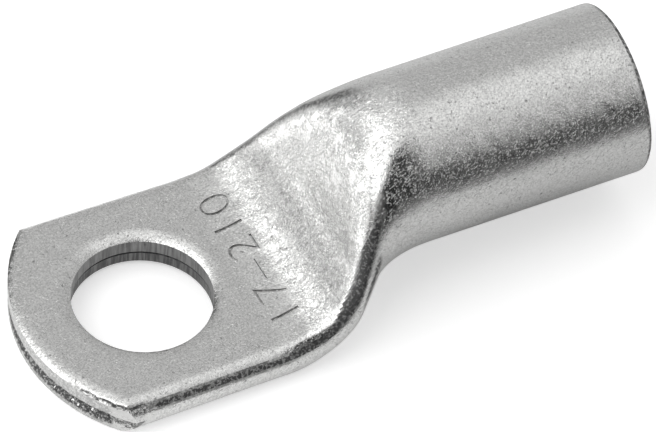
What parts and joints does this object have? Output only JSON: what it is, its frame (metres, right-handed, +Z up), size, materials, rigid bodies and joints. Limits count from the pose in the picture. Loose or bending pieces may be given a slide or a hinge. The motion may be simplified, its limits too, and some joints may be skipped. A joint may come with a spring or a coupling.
{
  "type": "cable lug",
  "caption": "Tinned copper tube lug: a round barrel for the conductor and a pressed, folded palm with a bolt hole, joined by a steep ramp.",
  "frame": {"origin": "centre of the bolt hole on the palm's underside", "axes": "+Z up along the bolt, away from the surface that the palm is bolted to; +X from the bolt hole towards the barrel's mouth; +Y across the palm"},
  "size_m": [0.0768, 0.032, 0.0246],
  "materials": {
    "tin_plate": "matt tin plating over copper, finely scuffed"
  },
  "bodies": {
    "root": {"cable_lug": "tin_plate"}
  },
  "joints": []
}
